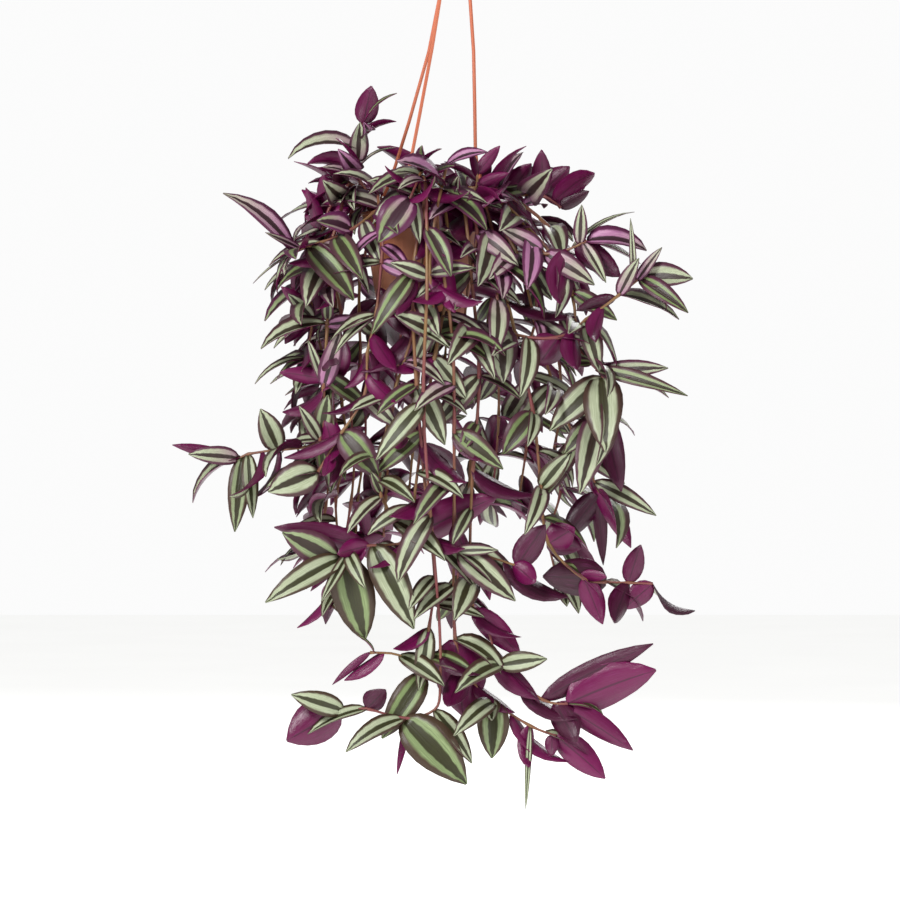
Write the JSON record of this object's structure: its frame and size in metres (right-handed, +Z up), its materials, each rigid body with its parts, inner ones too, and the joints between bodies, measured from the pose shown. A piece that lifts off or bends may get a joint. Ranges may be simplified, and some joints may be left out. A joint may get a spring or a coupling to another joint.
{
  "type": "potted tradescantia",
  "caption": "Hanging plastic pot with a three-strand clip-on hanger and long trailing stems of striped silver, green and purple leaves.",
  "frame": {"origin": "inner top of the hook, where it bears on the rail or ceiling hook", "axes": "+Z up, +Y away from the front, X across the hook's loop"},
  "size_m": [0.561, 0.4023, 0.9879],
  "materials": {
    "pot_plastic": "satin terracotta-coloured moulded plastic",
    "soil": "loose dark potting soil",
    "hanger_plastic": "orange moulded plastic, lighter on the strands",
    "foliage": "waxy leaf, striped silver green above and glossy purple below"
  },
  "bodies": {
    "root": {"hanger_arm_front": "hanger_plastic", "hanger_arm_left": "hanger_plastic", "hanger_arm_right": "hanger_plastic", "hanger_hook": "hanger_plastic", "pot": "pot_plastic", "soil": "soil", "vine_back_01": "foliage", "vine_back_02": "foliage", "vine_back_03": "foliage", "vine_back_04": "foliage", "vine_back_05": "foliage", "vine_back_06": "foliage", "vine_back_07": "foliage", "vine_back_08": "foliage", "vine_back_09": "foliage", "vine_back_10": "foliage", "vine_back_12": "foliage", "vine_back_13": "foliage", "vine_back_14": "foliage", "vine_bottom_centre": "foliage", "vine_bottom_left": "foliage", "vine_centre_front": "foliage", "vine_centre_star": "foliage", "vine_crown_left": "foliage", "vine_crown_left_low": "foliage", "vine_crown_mid": "foliage", "vine_crown_right": "foliage", "vine_far_left": "foliage", "vine_front_left": "foliage", "vine_green_group": "foliage", "vine_left_upper": "foliage", "vine_left_wing": "foliage", "vine_low_left": "foliage", "vine_low_right": "foliage", "vine_lower_cross": "foliage", "vine_lower_left": "foliage", "vine_right_low": "foliage", "vine_right_mid": "foliage", "vine_right_shoulder": "foliage", "vine_right_side": "foliage", "vine_right_upper": "foliage"}
  },
  "joints": []
}
